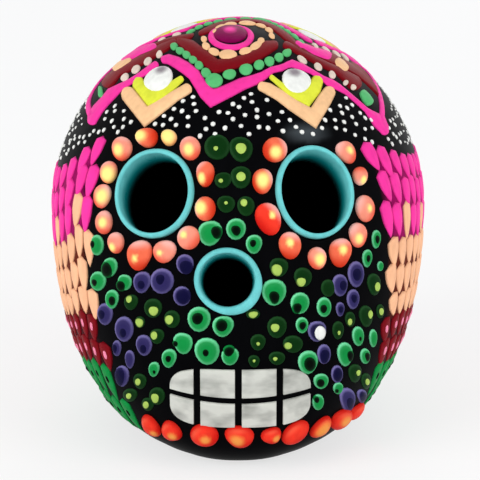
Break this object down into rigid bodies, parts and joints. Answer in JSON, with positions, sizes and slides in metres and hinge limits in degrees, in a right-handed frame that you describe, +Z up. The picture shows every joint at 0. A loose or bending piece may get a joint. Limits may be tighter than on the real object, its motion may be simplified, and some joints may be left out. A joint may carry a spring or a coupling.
{
  "type": "sugar skull",
  "caption": "Hollow painted clay skull for a festive table: round collared eyes and nose, a row of teeth, raised paint beads and dots on black.",
  "frame": {"origin": "on the table under the middle of the head's box", "axes": "+Z up, the face looks along -Y, +X is the right side of the face as seen from in front"},
  "size_m": [0.085, 0.1013, 0.0937],
  "materials": {
    "black_glaze": "black ground under a semi-gloss varnish",
    "bare_clay": "unpainted low-fired clay",
    "turquoise_paint": "satin brushed paint",
    "silver_paint": "silvery white brushed paint with grey mottling",
    "orange_paint": "thick raised paint with a yellow heart, varnished",
    "white_paint": "thick raised paint, varnished",
    "pink_paint": "thick raised paint, varnished",
    "peach_paint": "thick raised paint, varnished",
    "maroon_paint": "thick raised paint with pale hearts, varnished",
    "green_paint": "thick raised paint with darker hearts, varnished",
    "dark_green_paint": "thick raised paint with pale yellow-green hearts, varnished",
    "purple_paint": "thick raised paint with navy hearts, varnished",
    "lime_paint": "thick raised paint, varnished",
    "magenta_paint": "thick raised paint with a pink rim, varnished"
  },
  "bodies": {
    "root": {"face_half": "black_glaze", "cranium_half": "black_glaze", "seam_coil": "bare_clay", "left_eye_collar": "turquoise_paint", "right_eye_collar": "turquoise_paint", "nose_collar": "turquoise_paint", "upper_tooth_1": "silver_paint", "upper_tooth_2": "silver_paint", "upper_tooth_3": "silver_paint", "upper_tooth_4": "silver_paint", "lower_tooth_1": "silver_paint", "lower_tooth_2": "silver_paint", "lower_tooth_3": "silver_paint", "lower_tooth_4": "silver_paint", "left_eye_bead_1": "orange_paint", "left_eye_bead_2": "orange_paint", "left_eye_bead_3": "orange_paint", "left_eye_bead_4": "orange_paint", "left_eye_bead_5": "orange_paint", "left_eye_bead_6": "orange_paint", "left_eye_bead_7": "orange_paint", "left_eye_bead_8": "orange_paint", "left_eye_bead_9": "orange_paint", "left_eye_bead_10": "orange_paint", "left_eye_bead_11": "orange_paint", "left_eye_bead_12": "orange_paint", "left_eye_bead_13": "orange_paint", "right_eye_bead_1": "orange_paint", "right_eye_bead_2": "orange_paint", "right_eye_bead_3": "orange_paint", "right_eye_bead_4": "orange_paint", "right_eye_bead_5": "orange_paint", "right_eye_bead_6": "orange_paint", "right_eye_bead_7": "orange_paint", "right_eye_bead_8": "orange_paint", "right_eye_bead_9": "orange_paint", "right_eye_bead_10": "orange_paint", "chin_bead_1": "orange_paint", "chin_bead_2": "orange_paint", "chin_bead_3": "orange_paint", "chin_bead_4": "orange_paint", "chin_bead_5": "orange_paint", "chin_bead_6": "orange_paint", "chin_bead_7": "orange_paint", "chin_bead_8": "orange_paint", "chin_bead_9": "orange_paint", "left_brow_drop": "white_paint", "right_brow_drop": "white_paint", "crown_knob": "magenta_paint"}
  },
  "joints": []
}
